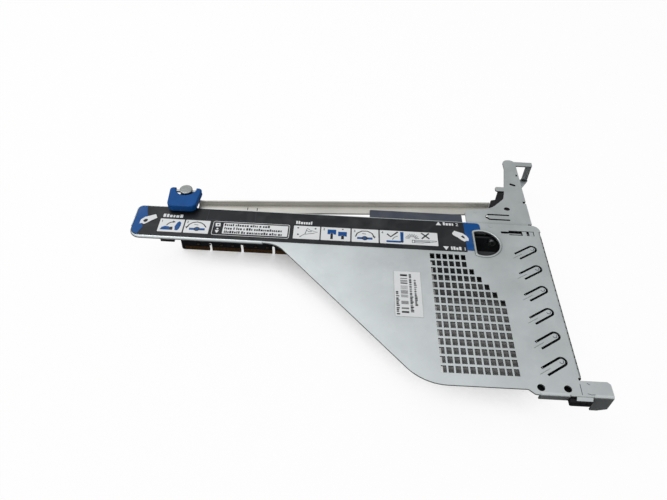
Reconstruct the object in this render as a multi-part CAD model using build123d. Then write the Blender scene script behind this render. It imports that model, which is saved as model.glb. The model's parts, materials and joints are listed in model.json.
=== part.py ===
from build123d import *
import math
import os

os.makedirs("parts", exist_ok=True)

# A two-slot riser cage for a flat server, in millimetres.
# X runs from the front latch to the rear card brackets, Y from slot 1 to slot 2, and Z is up.
# The origin is at the middle of the riser board's contact edge, on the board's mid-plane.

# Sheet steel
sheet = 1.0  # thickness of every folded sheet
bend_inside = 0.6  # inside radius of a fold
cage_height = 29.6  # contact edge to the top face of the top plate

# Top plate outline
tip_x = -96.0  # front end of the arm
rear_x = 176.7  # rear plane, outer face of the rear fold
arm_near_y = -18.7  # arm edge on the slot 1 side
arm_far_y = 10.6  # arm edge on the slot 2 side
tip_near_radius = 7.5
tip_far_radius = 4.0
diagonal_x = 0.7  # where the diagonal would meet the arm's edge
diagonal_angle = 47.5  # degrees to the arm
throat_radius = 16.0
heel_radius = 30.0
near_y = -116.1  # edge beside the hole field
lobe_x = 146.0  # where the lobe with the two round holes starts
lobe_y = -119.0
lobe_run = 3.5  # length of the slope down to the lobe
rear_corner_radius = 5.0
tail_reach = 14.9  # tail beyond the rear plane
tail_far_y = -109.3
tail_chamfer = 1.5
relief_width = 1.8
relief_depth = 2.2

# Folds of the top plate
arm_fold_depth = 1.7
lobe_fold_depth = 4.8
rear_fold_depth = 4.2
rear_slot_width = 1.3  # small slots in the rear bend, one beside each spring finger
rear_slot_depth = 1.1

# Hole field: slots in rows, with fewer of them near the diagonal
hole_x = 101.5  # first column
hole_y = -22.4  # first row
hole_pitch_x = 4.0
hole_pitch_y = 6.0
hole_width = 3.0
hole_length = 4.5
hole_rows = 15
hole_columns = 11
hole_columns_least = 6
hole_columns_lead = 4  # a row has this many holes more than its number

# Lanced spring tongues
tongue_count = 6
tongue_x = 157.0  # root of the first tongue
tongue_y = -18.8
tongue_pitch = 17.2
tongue_length = 16.2
tongue_gauge = 5.1  # between the middles of a tongue's two cuts
tongue_cut = 1.4
tongue_angle = 33.0
dimple_radius = 0.9

# Openings in the top plate
finger_x = 135.9
finger_y = -8.7
finger_radius = 11.3
finger_flat = 4.7  # middle of the hole to its flat side
finger_rim = 1.3  # width of the hem round the hole
finger_rim_height = 0.5
hook_slot_x = 149.7
hook_slot_step = 5.4  # length of the narrow end
hook_slot_length = 22.3
hook_slot_narrow = 2.0
hook_slot_wide = 4.3
screw_hole_x = 153.0
screw_hole_pitch = 14.4
screw_hole_y = -114.8
screw_hole_radius = 2.15

# Slot 2 wing
wing_lap = 5.0  # overlap under the top plate
wing_x = 127.5
wing_rear_x = 172.8
wing_far_y = 24.4
wing_corner_radius = 3.5
horn_neck_y = 40.0
horn_width = 14.0
horn_head_width = 9.6
horn_head_y = 78.6
horn_head_radius = 4.7
horn_corner_radius = 13.0
ear_y = 46.3
ear_width = 4.6
ear_reach = 5.8
wing_tongue_x = 158.5
wing_tongue_y = 18.4
wing_tongue_length = 17.4
wing_tongue_gauge = 4.8
wing_tongue_cut = 1.3
wing_fold_y = 36.6
wing_fold_step_y = 57.0
wing_fold_depth = 5.0
landing_y = 77.4
landing_reach = 12.8
landing_depth = 14.9
landing_leg = 4.9
landing_edge = 1.6  # radius from the landing's face to its outer flange
landing_arm = 4.6
gusset_run = 18.2
wing_eye_width = 4.2
wing_slit_length = 4.6
wing_slit_width = 2.0
wing_slit_y = 54.1
wing_root_notch = 2.2  # beside the top plate's rear corner
wing_nick_depth = 2.2
wing_nick_width = 1.9
wing_nick_low_y = 35.1
wing_nick_high_y = 65.1

# Slot 1 tail and retainer
tail_wall_x = 180.5
tail_wall_depth = 13.9
tail_step_depth = 10.2
retainer_x = 168.3
retainer_length = 13.0
retainer_top = 2.0  # below the top face
retainer_height = 5.2
retainer_proud = 1.8  # in front of the lobe's edge
retainer_depth = 7.5
retainer_bevel = 1.3

# Riser board and its carrier
board_thickness = 1.6
board_front_x = -68.2
board_rear_x = 166.0
board_gap = 1.3  # board to carrier
board_top_gap = 0.9  # board to the carrier's top flange
board_step_z = 7.6  # bottom edge behind the contact edge
contact_length = 135.0
key_pitch = 22.0
key_first_x = -48.0
key_width = 1.9
key_height = 7.3
pad_pitch = 1.0
pad_width = 0.7
pad_height = 3.2
pad_inset = 0.5
pad_thickness = 0.06
carrier_front_x = -62.0
carrier_step_x = -40.0  # the wall is lower in front of this, below the latch tab
carrier_flange_width = 10.0
carrier_flange_rear_x = 124.0
carrier_bottom_z = 8.5
post_width = 11.0
post_bottom_z = 0.5
hook_length = 2.8
hook_spacing = 1.8
hook_end_gap = 0.4

# Parts on the board, all on the slot 1 face
chip_sizes = (5.0, 7.0, 4.0)
chip_pitch = 19.0
chip_height = 0.9
chip_z = 17.0
capacitor_count = 12
capacitor_pitch = 8.0
capacitor_length = 1.6
capacitor_height = 0.8
capacitor_drop = 2.4  # contacts to the row of capacitors
board_screw_radius = 1.25
board_screw_head = 2.8
board_screw_head_height = 1.8
board_screw_inset = 3.2
board_screw_front = 12.0  # board's front end to the first screw
board_screw_gap = 14.6  # between the two screws at the rear

# Card connectors
card_z = 15.6
connector_rear_x = 128.5
connector_width = 7.5
connector_height = 11.25
card_slot_width = 1.75
card_slot_depth = 8.0
key_to_end = 14.5  # connector's rear end to the middle of its key
slot_end_wall = 2.6
slot_key_wall = 1.8
x16_length = 89.0
x8_length = 56.0

# Latch
latch_x = -65.3
latch_y = 21.6
stud_radius = 3.0
running_gap = 0.05
sleeve_radius = 4.2
sleeve_flange_radius = 5.2
sleeve_length = 13.0
sleeve_collar = 0.9  # above the top plate
hub_radius = 4.0
hub_base = 1.2
head_base = 5.7
head_radius = 4.35
head_thickness = 1.2
cam_length = 11.0
cam_width = 3.2
stud_drop = 21.0
pin_height = 4.6
pin_radius = 1.0
pin_length = 19.0
handle_thickness = 4.8
handle_length = 17.5
handle_width = 22.0
handle_near_width = 19.0
handle_cup_radius = 6.9
handle_cup_depth = 5.9  # pin to the bottom of the cup
handle_prong = 1.6  # prong beyond the pin
tab_width = 9.4
tab_front_x = -80.5
tab_rear_x = -45.0

# Side rail
rail_width = 8.4
rail_lip = 3.7
rail_front_x = -56.0
rail_rear_x = 145.5
rail_front_y = 16.6  # outer face at the front end
rail_angle = 3.9

# Films, pads and small trim
label_thickness = 0.2
mark_thickness = 0.12
label_margin = 0.7
label_near_margin = 1.4
flap_reach = 8.4
flap_front_x = 61.5
flap_rear_x = 125.0
flap_thickness = 0.4
rivet_radius = 1.3
rivet_head = 2.2
rivet_head_height = 0.7
finger_pitch = 4.0
finger_gap = 0.8
finger_start = 2.1  # tail relief to the first spring finger
finger_strip_thickness = 0.3
bumper_height = 7.0
bumper_reach = 11.6  # in front of the horn's neck
bumper_end = 12.3  # its front end runs this far beyond the wing's edge
bumper_width = 5.5  # in front of the neck, at the inner corner
bumper_corner_y = 38.3
bumper_inner_radius = 3.5
panel_spans = ((-78.0, 16.1), (-61.0, 16.3), (-35.7, 42.8), (10.9, 17.4), (29.1, 19.4), (49.4, 17.7),
               (68.0, 38.3))  # start and length of each white panel
panel_text = 2  # the panel for lines of print is a little lower
panel_text_trim = 1.1
panel_low_y = -13.7
panel_height = 12.0
part_label_x = 76.2
part_label_y = -37.2
part_label_width = 16.5
part_label_length = 35.0
mark_inset = 0.3
mark_overlap = 5.0  # length of the blue field in front of the finger hole's hem
mark_edge = ((6.5, 8.5), (8.7, 0.1), (6.4, -3.9), (7.8, -10.5), (5.9, -15.8))  # from the tip, and y
foot_x = -74.9
foot_length = 9.0
foot_drop = 3.1

top_z = cage_height
under_z = top_z - sheet  # underside of the top plate
second_z = under_z - sheet  # underside of a sheet lapped below it
third_z = second_z - sheet
fold_outside = bend_inside + sheet
diagonal_run = (arm_near_y - near_y) / math.tan(math.radians(diagonal_angle))
heel_x = diagonal_x + diagonal_run
lobe_flat_x = lobe_x + lobe_run
tail_x = rear_x + tail_reach
hook_y = board_thickness / 2 + board_gap + sheet / 2  # middle of the carrier's wall


def plate(points, radii, low, high):
    """Flat piece with rounded corners between two heights."""
    face = make_face(FilletPolyline(*points, radius=radii, close=True))
    return Pos(0, 0, low) * extrude(face, high - low)


def block(x0, x1, y0, y1, z0, z1):
    """Plain rectangular stretch between six faces."""
    return Pos((x0 + x1) / 2, (y0 + y1) / 2, (z0 + z1) / 2) * Box(x1 - x0, y1 - y0, z1 - z0)


def upright(points, radii, y0, y1):
    """Standing sheet in the XZ plane; points are (x, z)."""
    face = make_face(FilletPolyline(*points, radius=radii, close=True))
    frame = Plane(origin=(0, y1, 0), x_dir=(1, 0, 0), z_dir=(0, -1, 0))
    return extrude(frame * face, y1 - y0)


def crosswise(points, radii, x0, x1):
    """Standing sheet in the YZ plane; points are (y, z)."""
    face = make_face(FilletPolyline(*points, radius=radii, close=True))
    frame = Plane(origin=(x0, 0, 0), x_dir=(0, 1, 0), z_dir=(1, 0, 0))
    return extrude(frame * face, x1 - x0)


def post(x, y, radius, low, high):
    """Round bar along Z."""
    return Pos(x, y, (low + high) / 2) * Cylinder(radius, high - low)


def folded_edge(path, start, inward, along, depth):
    """Fold swept along an edge: what it replaces in the flat sheet, and the fold itself."""
    reach = fold_outside + 0.4
    frame = Plane(origin=start, x_dir=inward, z_dir=along)
    section = make_face(FilletPolyline(
        (0, 0), (0, -depth), (sheet, -depth), (sheet, -sheet), (reach, -sheet), (reach, 0),
        radius=[fold_outside, 0, 0, bend_inside, 0, 0], close=True))
    corner = Pos(reach / 2 - 0.5, -sheet / 2) * Rectangle(reach + 1, sheet + 1)
    return sweep(frame * corner, path=path), sweep(frame * section, path=path)


def rivet(x, y, low, high):
    """Flat-topped rivet: flush above, domed head below."""
    shank = post(x, y, rivet_radius, low, high)
    head = post(x, y, rivet_head, low - rivet_head_height, low)
    return shank + chamfer(head.edges().group_by(Axis.Z)[0], rivet_head_height * 0.5)


def finger_shape(grow):
    """D-shaped finger hole, grown by a margin."""
    disc = Pos(finger_x, finger_y) * Circle(finger_radius + grow)
    keep = Pos(finger_x - finger_flat - grow + finger_radius * 2, finger_y) * Rectangle(
        finger_radius * 4, finger_radius * 4)
    shape = disc & keep
    return fillet(shape.vertices(), 2.0)


def tongue_cut_shape(length, gauge, cut, pointed):
    """U-shaped cut of a lanced tongue that starts at the origin and runs along +X."""
    half = gauge / 2
    nose = half if pointed else half - 0.01
    run = FilletPolyline((0, -half), (length - cut / 2, -half), (length - cut / 2, half), (0, half),
                         radius=[nose - 0.01, nose - 0.01])
    if pointed:
        tip = length - cut / 2
        run = FilletPolyline((0, -half), (tip - half, -half), (tip, 0), (tip - half, half), (0, half),
                             radius=[0.8, 0.8, 0.8])
    return trace(run, line_width=cut)


def finger_row():
    """Start and number of the spring fingers along the rear fold."""
    start = tail_far_y + relief_width + finger_start
    return start, int((arm_far_y - rear_corner_radius - 2.0 - start) / finger_pitch)


def make_top_plate():
    corners = [
        (tip_x, arm_near_y, tip_near_radius),
        (diagonal_x, arm_near_y, throat_radius),
        (heel_x, near_y, heel_radius),
        (lobe_x, near_y, 2.0),
        (lobe_flat_x, lobe_y, 2.5),
        (tail_x, lobe_y, 0),
        (tail_x, tail_far_y - tail_chamfer, 0),
        (tail_x - tail_chamfer, tail_far_y, 0),
        (rear_x - relief_depth, tail_far_y, relief_width * 0.3),
        (rear_x - relief_depth, tail_far_y + relief_width, relief_width * 0.3),
        (rear_x, tail_far_y + relief_width, 0),
        (rear_x, arm_far_y, rear_corner_radius),
        (tip_x, arm_far_y, tip_far_radius),
    ]
    body = plate([c[:2] for c in corners], [c[2] for c in corners], under_z, top_z)

    arm_end = diagonal_x - throat_radius * math.tan(math.radians(diagonal_angle / 2)) - 2
    arm_start = (tip_x, arm_near_y + tip_near_radius + 2, top_z)
    arm_path = FilletPolyline(arm_start, (tip_x, arm_near_y, top_z), (arm_end, arm_near_y, top_z),
                              radius=[tip_near_radius])
    folds = [folded_edge(arm_path, arm_start, (1, 0, 0), (0, -1, 0), arm_fold_depth)]
    lobe_start = (lobe_flat_x + 2.5, lobe_y, top_z)
    lobe_path = Line(lobe_start, (retainer_x, lobe_y, top_z))
    folds.append(folded_edge(lobe_path, lobe_start, (0, 1, 0), (1, 0, 0), lobe_fold_depth))
    rear_start = (rear_x, tail_far_y + relief_width, top_z)
    rear_path = Line(rear_start, (rear_x, arm_far_y - rear_corner_radius - 1, top_z))
    folds.append(folded_edge(rear_path, rear_start, (-1, 0, 0), (0, 1, 0), rear_fold_depth))
    for cutter, fold in folds:
        body = body - cutter + fold

    tail_start = (tail_wall_x, lobe_y, top_z)
    tail_path = Line(tail_start, (tail_x, lobe_y, top_z))
    cutter, fold = folded_edge(tail_path, tail_start, (0, 1, 0), (1, 0, 0), tail_wall_depth)
    body = body - cutter + fold
    body -= upright([(tail_x, top_z - tail_wall_depth + 2), (tail_x + 5, top_z - tail_wall_depth + 2),
                     (tail_x + 5, top_z - tail_wall_depth - 1), (tail_x - 5, top_z - tail_wall_depth - 1),
                     (tail_x - 5, top_z - tail_wall_depth)],
                    [0, 0, 0, 0, 0], lobe_y - 1, lobe_y + fold_outside + 1)
    body -= block(tail_wall_x - 1, tail_wall_x + 2, lobe_y - 1, lobe_y + sheet + 0.2,
                  top_z - tail_wall_depth - 1, top_z - tail_step_depth)

    cuts = []
    for row in range(hole_rows):
        count = min(hole_columns, max(hole_columns_least, row + 1 + hole_columns_lead))
        for column in range(count):
            cuts.append(Pos(hole_x + column * hole_pitch_x, hole_y - row * hole_pitch_y)
                        * Rectangle(hole_width, hole_length))
    for i in range(tongue_count):
        spot = Pos(tongue_x, tongue_y - i * tongue_pitch) * Rot(0, 0, tongue_angle)
        cuts.append(spot * tongue_cut_shape(tongue_length, tongue_gauge, tongue_cut, False))
    cuts.append(finger_shape(0))
    cuts.append(Pos(hook_slot_x + hook_slot_length / 2, hook_y)
                * Rectangle(hook_slot_length, hook_slot_narrow))
    wide = hook_slot_length - hook_slot_step
    cuts.append(Pos(hook_slot_x + hook_slot_step + wide / 2, hook_y) * Rectangle(wide, hook_slot_wide))
    for i in range(2):
        cuts.append(Pos(screw_hole_x + i * screw_hole_pitch, screw_hole_y) * Circle(screw_hole_radius))
    body -= [Pos(0, 0, under_z - 1) * extrude(cut, sheet + 2) for cut in cuts]
    for x, y in plate_rivet_spots():
        body -= post(x, y, rivet_radius, under_z - 1, top_z + 1)

    first, count = finger_row()
    for i in range(count - 1):
        y = first + (i + 1) * finger_pitch - finger_gap / 2
        half = rear_slot_width / 2
        body -= block(rear_x - rear_slot_depth, rear_x + 1, y - half, y + half,
                      top_z - fold_outside, top_z + 1)

    rim = finger_shape(finger_rim) - finger_shape(0)
    hem = Pos(0, 0, top_z) * extrude(rim, finger_rim_height)
    body += chamfer(hem.edges().group_by(Axis.Z)[-1], finger_rim_height * 0.6)
    for i in range(tongue_count):
        tip = tongue_length - tongue_cut - 1.9
        spot = Pos(tongue_x, tongue_y - i * tongue_pitch, top_z) * Rot(0, 0, tongue_angle) * Pos(tip, 0, 0)
        body += spot * Pos(0, 0, -dimple_radius / 3) * Sphere(dimple_radius, arc_size1=19.5)
    return body


def carrier_rivet_spots():
    span = carrier_flange_rear_x - carrier_step_x
    y = hook_y - sheet / 2 - carrier_flange_width * 0.55
    return [(carrier_step_x + span * (i + 0.5) / 4, y) for i in range(4)]


def tab_rivet_spots():
    return [(tab_front_x + 5, arm_far_y - 4.5), (rail_front_x + 4.5, arm_far_y - 3.6)]


def wing_rivet_spots():
    y = arm_far_y - wing_lap / 2
    return [(wing_x + 4, y), (wing_x + 16, y)]


def plate_rivet_spots():
    return carrier_rivet_spots() + tab_rivet_spots() + wing_rivet_spots()


def make_slot2_wing():
    low, high = second_z, under_z
    neck_x = wing_rear_x - horn_width
    head_x = wing_rear_x - horn_head_width
    head_top = horn_head_y + horn_head_radius
    near = arm_far_y - wing_lap
    corners = [
        (wing_x, near, 0.5),
        (wing_rear_x, near, 0.5),
        (wing_rear_x, head_top, horn_head_radius - 0.3),
        (head_x, head_top, horn_head_radius - 0.3),
        (head_x, horn_head_y - 6, 8.0),
        (neck_x, horn_neck_y + 5, 2.0),
        (neck_x - 1.5, horn_neck_y - 2, 5.0),
        (neck_x - 11.5, wing_far_y + 3, horn_corner_radius),
        (wing_x + 0.6, wing_far_y, wing_corner_radius),
    ]
    body = plate([c[:2] for c in corners], [c[2] for c in corners], low, high)
    body += plate([(neck_x - ear_reach, ear_y), (neck_x + 2, ear_y), (neck_x + 2, ear_y + ear_width),
                   (neck_x - ear_reach, ear_y + ear_width)], [1.6, 0, 0, 1.6], low, high)

    def through(shape):
        return Pos(0, 0, low - 1) * extrude(shape, sheet + 2)

    tongue = Pos(wing_tongue_x, wing_tongue_y) * Rot(0, 0, 180) * tongue_cut_shape(
        wing_tongue_length, wing_tongue_gauge, wing_tongue_cut, True)
    body -= through(tongue)
    body -= through(Pos(wing_rear_x, arm_far_y + wing_root_notch / 2)
                    * Rectangle(wing_root_notch * 2.4, wing_root_notch))
    body -= through(Pos(neck_x - 0.8, wing_far_y + 3) * Ellipse(wing_eye_width / 2, wing_eye_width * 0.4))
    body -= through(Pos(neck_x + horn_width / 2 + 0.6, wing_slit_y) * Rot(0, 0, -25)
                    * SlotOverall(wing_slit_length, wing_slit_width))
    for y in (wing_nick_low_y, wing_nick_high_y):
        body -= through(Pos(wing_rear_x, y) * Rectangle(wing_nick_depth * 2, wing_nick_width))
    for x, y in wing_rivet_spots() + rail_rivet_spots()[1:]:
        body -= post(x, y, rivet_radius, low - 1, high + 1)

    fold_low = high - landing_depth
    end = landing_y - sheet / 2
    body += crosswise(
        [(wing_fold_y + 0.7, high), (wing_fold_y + 0.7, high - wing_fold_depth),
         (wing_fold_step_y, high - wing_fold_depth), (wing_fold_step_y + 4, fold_low),
         (end, fold_low), (end, high)],
        [0, 1.0, 1.0, 1.0, 0, 0], wing_rear_x - sheet, wing_rear_x)
    arm_x = wing_rear_x + landing_reach
    arm = block(wing_rear_x - 1, arm_x, end, end + landing_arm, low, high)
    body += fillet(arm.edges().filter_by(Axis.Z).group_by(Axis.X)[-1], 1.2)
    face = block(wing_rear_x - sheet, arm_x, end, end + landing_arm, fold_low, high)
    face = fillet(face.edges().filter_by(Axis.Z).group_by(Axis.Y)[0].sort_by(Axis.X)[-1], landing_edge)
    inside = block(wing_rear_x - sheet - 1, arm_x - sheet, end + sheet, end + landing_arm + 1,
                   fold_low - 1, high + 1)
    inner = landing_edge - sheet
    inside = fillet(inside.edges().filter_by(Axis.Z).group_by(Axis.Y)[0].sort_by(Axis.X)[-1], inner)
    hole = block(wing_rear_x, arm_x - landing_leg, end - 1, end + sheet + 1, fold_low + sheet, low)
    body += face - inside - fillet(hole.edges().filter_by(Axis.Y), 1.2)
    body += plate([(arm_x, end + sheet), (wing_rear_x - sheet, end + sheet),
                   (wing_rear_x - sheet, end - gusset_run), (wing_rear_x, end - gusset_run), (arm_x, end)],
                  [0, 0, 0, 0, 0], fold_low, fold_low + sheet)
    return body


def rail_point(x):
    """Outer face of the rail at a place along it."""
    return rail_front_y + (x - rail_front_x) * math.tan(math.radians(rail_angle))


def rail_rivet_spots():
    x = wing_x + 7.5
    return [tab_rivet_spots()[1], (x, rail_point(x) - rail_width * 0.8)]


def make_side_rail():
    slope = math.radians(rail_angle)
    wide = rail_width / math.cos(slope)
    thick = sheet / math.cos(slope)
    ends = [(rail_front_x, rail_point(rail_front_x)), (rail_rear_x, rail_point(rail_rear_x))]
    (x0, y0), (x1, y1) = ends
    body = plate([(x0, y0 - wide), (x1, y1 - wide), (x1, y1), (x0, y0)], [1.0, 0.5, 0, 0],
                 third_z, second_z)
    body += plate([(x0, y0 - thick), (x1, y1 - thick), (x1, y1), (x0, y0)], [0, 0, 0, 0],
                  third_z, second_z + rail_lip)
    foot_y = hook_y + sheet / 2 + 0.6
    body += plate([(x0, foot_y), (x0 + 10, foot_y), (x0 + 10, y0 - wide + 2), (x0, y0 - wide + 2)],
                  [1.5, 1.5, 0, 0], third_z, second_z)
    for x, y in rail_rivet_spots():
        body -= post(x, y, rivet_radius, third_z - 1, second_z + 1)
    return body


def make_latch_tab():
    near = hook_y - sheet / 2 - carrier_flange_width
    half = tab_width / 2
    body = plate([(tab_front_x, near), (tab_rear_x, near), (tab_rear_x, arm_far_y),
                  (latch_x + half, arm_far_y), (latch_x + half, latch_y), (latch_x - half, latch_y),
                  (latch_x - half, arm_far_y), (tab_front_x, arm_far_y)],
                 [3, 3, 1, 2, 0, 0, 2, 3], second_z, under_z)
    body += post(latch_x, latch_y, sleeve_flange_radius + 0.6, second_z, under_z)
    body -= post(latch_x, latch_y, sleeve_radius, second_z - 1, under_z + 1)
    for x, y in tab_rivet_spots():
        body -= post(x, y, rivet_radius, second_z - 1, under_z + 1)
    return body


def make_board_carrier():
    wall_y0, wall_y1 = hook_y - sheet / 2, hook_y + sheet / 2
    rear = rear_x - sheet
    low_top = third_z - 0.4
    body = upright(
        [(carrier_front_x, carrier_bottom_z), (rear, carrier_bottom_z), (rear, under_z),
         (carrier_step_x, under_z), (carrier_step_x, low_top), (carrier_front_x, low_top)],
        [3, 0, 0, 0, 0, 3], wall_y0, wall_y1)
    body += block(rear - sheet, rear, wall_y0 - post_width, wall_y1, post_bottom_z, under_z)
    body += block(carrier_step_x, carrier_flange_rear_x, wall_y0 - carrier_flange_width, wall_y1,
                  second_z, under_z)
    margin = 1.2
    window = block(connector_rear_x - x8_length - margin, connector_rear_x + margin,
                   wall_y0 - 1, wall_y1 + 1,
                   card_z - connector_width / 2 - margin, card_z + connector_width / 2 + margin)
    body -= fillet(window.edges().filter_by(Axis.Y), 1.0)
    hook_low = under_z + 0.1
    slot_end = hook_slot_x + hook_slot_length
    for i in range(2):
        x = slot_end - hook_end_gap - hook_length - i * (hook_length + hook_spacing)
        body += block(x, x + hook_length, wall_y0, wall_y1, under_z - 1, top_z - 0.2)
        body += block(x, x + hook_length, hook_y - hook_slot_wide / 2 + 0.2,
                      hook_y + hook_slot_wide / 2 - 0.2, hook_low, top_z - 0.2)
    for x, z in board_screw_spots():
        body -= Pos(x, hook_y, z) * Rot(90, 0, 0) * Cylinder(board_screw_radius, sheet + 2)
    for x, y in carrier_rivet_spots():
        body -= post(x, y, rivet_radius, second_z - 1, under_z + 1)
    body -= block(rear - bend_inside - 0.1, rear + 1, wall_y0 - post_width - 1, wall_y1 + 1,
                  under_z - bend_inside - 0.1, under_z + 1)
    tongue_slot = block(rear - sheet - 1, rear + 1, wall_y0 - post_width * 0.75, wall_y0 - post_width * 0.55,
                        card_z - 5, card_z + 5)
    return body - tongue_slot


def board_top():
    return second_z - board_top_gap


def board_screw_spots():
    high = board_top() - board_screw_inset
    rear = board_rear_x - board_screw_inset - 3.8
    return [(board_front_x + board_screw_front, high), (0, high), (rear - board_screw_gap, high),
            (rear, board_step_z + board_screw_inset)]


def key_spots():
    return [key_first_x + i * key_pitch for i in range(3)]


def make_riser_board():
    half = contact_length / 2
    body = upright(
        [(board_front_x, 0), (half, 0), (half, board_step_z), (board_rear_x, board_step_z),
         (board_rear_x, board_top()), (board_front_x, board_top())],
        [1.5, 1.5, 1.5, 2, 2, 2], -board_thickness / 2, board_thickness / 2)
    for x in key_spots():
        notch = upright([(x - key_width / 2, -1), (x + key_width / 2, -1),
                         (x + key_width / 2, key_height), (x - key_width / 2, key_height)],
                        [0, 0, key_width * 0.48, key_width * 0.48], -board_thickness, board_thickness)
        body -= notch
    for x, z in board_screw_spots():
        body -= Pos(x, 0, z) * Rot(90, 0, 0) * Cylinder(board_screw_radius + 0.3, board_thickness + 2)
    return body


def make_edge_contacts():
    count = int(contact_length / pad_pitch) - 3
    pads = []
    for i in range(count):
        x = (i - (count - 1) / 2) * pad_pitch
        if min(abs(x - key) for key in key_spots()) < key_width / 2 + pad_width / 2 + 0.1:
            continue
        for side in (-1, 1):
            inner = side * board_thickness / 2
            outer = inner + side * pad_thickness
            pads.append(block(x - pad_width / 2, x + pad_width / 2, min(inner, outer), max(inner, outer),
                              pad_inset, pad_inset + pad_height))
    return pads


def connector_spans(length):
    """The two stretches of a card slot, either side of its key."""
    rear = connector_rear_x
    key = rear - key_to_end
    return [(rear - length + slot_end_wall, key - slot_key_wall / 2),
            (key + slot_key_wall / 2, rear - slot_end_wall)]


def make_connector(length, side):
    inner = side * board_thickness / 2
    outer = inner + side * connector_height
    low, high = card_z - connector_width / 2, card_z + connector_width / 2
    front = connector_rear_x - length
    body = block(front, connector_rear_x, min(inner, outer), max(inner, outer), low, high)
    body = chamfer(body.faces().sort_by(Axis.Y)[0 if side < 0 else -1].edges(), 0.5)
    floor = outer - side * card_slot_depth
    for x0, x1 in connector_spans(length):
        body -= block(x0, x1, min(floor, outer + side), max(floor, outer + side),
                      card_z - card_slot_width / 2, card_z + card_slot_width / 2)
    return body


def make_connector_contacts(length, side):
    """Spring contacts lying in the slot's two walls."""
    outer = side * (board_thickness / 2 + connector_height)
    near, far = outer - side * (card_slot_depth - 0.4), outer - side * 1.6
    contacts = []
    for x0, x1 in connector_spans(length):
        count = int((x1 - x0 - 0.4) / pad_pitch)
        for i in range(count):
            x = (x0 + x1) / 2 + (i - (count - 1) / 2) * pad_pitch
            for up in (-1, 1):
                wall = card_z + up * card_slot_width / 2
                face = wall - up * 0.25
                contacts.append(block(x - 0.25, x + 0.25, min(near, far), max(near, far),
                                      min(wall, face), max(wall, face)))
    return contacts


def make_board_screws():
    screws = []
    for x, z in board_screw_spots():
        face = -board_thickness / 2
        head = Pos(x, face - board_screw_head_height / 2, z) * Rot(90, 0, 0) * Cylinder(
            board_screw_head, board_screw_head_height)
        head = chamfer(head.edges().group_by(Axis.Y)[0], board_screw_head_height * 0.25)
        reach = board_thickness + board_gap + sheet + 0.8
        shank = Pos(x, face + reach / 2, z) * Rot(90, 0, 0) * Cylinder(board_screw_radius, reach)
        socket = Pos(x, face - board_screw_head_height, z) * Rot(90, 0, 0) * extrude(
            RegularPolygon(board_screw_radius, 6), board_screw_head_height / 2, both=True)
        screws.append(head + shank - socket)
    return screws


def make_board_standoffs():
    return [Pos(x, board_thickness / 2 + board_gap / 2, z) * Rot(90, 0, 0)
            * (Cylinder(board_screw_head, board_gap) - Cylinder(board_screw_radius, board_gap + 1))
            for x, z in board_screw_spots()]


def make_board_chips():
    """Two clock chips and a small memory, on the slot 1 face."""
    face = -board_thickness / 2
    front = connector_rear_x - x16_length  # the chips stand in front of the long connector
    chips = []
    for i, size in enumerate(chip_sizes):
        x = front - chip_pitch * (i + 0.8)
        chip = block(x - size / 2, x + size / 2, face - chip_height, face,
                     chip_z - size / 2, chip_z + size / 2)
        chips.append(chamfer(chip.edges().filter_by(Axis.Z).group_by(Axis.Y)[0], chip_height * 0.2))
    return chips


def make_board_capacitors():
    """Rows of small capacitors above the contact edge, on the slot 1 face."""
    face = -board_thickness / 2
    caps = []
    low = pad_inset + pad_height + capacitor_drop
    for i in range(capacitor_count):
        x = board_front_x + (i + 1.5) * capacitor_pitch
        caps.append(block(x - capacitor_length / 2, x + capacitor_length / 2, face - capacitor_height, face,
                          low, low + capacitor_height))
    return caps


def make_latch_sleeve():
    low = second_z - sleeve_length
    body = post(latch_x, latch_y, sleeve_radius, low, under_z)
    body += post(latch_x, latch_y, sleeve_flange_radius, under_z, top_z + sleeve_collar)
    return body - post(latch_x, latch_y, stud_radius + running_gap, low - 1, top_z + sleeve_collar + 1)


def make_latch_stud():
    low = top_z - stud_drop
    body = post(latch_x, latch_y, stud_radius, low, top_z + head_base)
    body = chamfer(body.edges().group_by(Axis.Z)[0], 0.6)
    head = post(latch_x, latch_y, head_radius, top_z + head_base, top_z + head_base + head_thickness)
    body += fillet(head.edges().group_by(Axis.Z)[-1], 0.5)
    cam = block(latch_x - cam_length / 2, latch_x + cam_length / 2, latch_y - cam_width / 2,
                latch_y + cam_width / 2, low + 1.0, low + 1.0 + cam_width)
    body += fillet(cam.edges().filter_by(Axis.Z), 1.2)
    return body - cross_hole(pin_radius)


def cross_hole(radius):
    """Bar along X at the pin's place."""
    return Pos(latch_x, latch_y, top_z + pin_height) * Rot(0, 90, 0) * Cylinder(radius, handle_width + 6)


def make_latch_hub():
    body = post(latch_x, latch_y, hub_radius, top_z + hub_base, top_z + head_base)
    body -= post(latch_x, latch_y, stud_radius, top_z, top_z + head_base + 1)
    return body - cross_hole(pin_radius)


def make_stud_clip():
    high = second_z - sleeve_length - 0.3
    ring = post(latch_x, latch_y, stud_radius + 1.8, high - 0.8, high)
    return ring - post(latch_x, latch_y, stud_radius, high - 2, high + 1)


def make_handle_pin():
    bar = Cylinder(pin_radius, pin_length)
    return Pos(latch_x, latch_y, top_z + pin_height) * Rot(0, 90, 0) * chamfer(bar.edges(), 0.2)


def make_latch_handle():
    half, near_half = handle_width / 2, handle_near_width / 2
    cup = Pos(0, handle_cup_radius - handle_cup_depth) * Circle(handle_cup_radius)
    outline = make_face(FilletPolyline(
        (-half, handle_prong), (-near_half, -handle_length), (near_half, -handle_length),
        (half, handle_prong), (0, handle_prong), radius=[2.2, 4.5, 4.5, 2.2, 0], close=True))
    outline = outline - cup
    body = extrude(outline, handle_thickness / 2, both=True)
    body = fillet(body.edges().group_by(Axis.Z)[-1], 0.9)
    body = fillet(body.edges().group_by(Axis.Z)[0], 0.6)
    body = Pos(latch_x, latch_y, top_z + pin_height) * body
    return body - cross_hole(pin_radius + running_gap)


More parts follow.
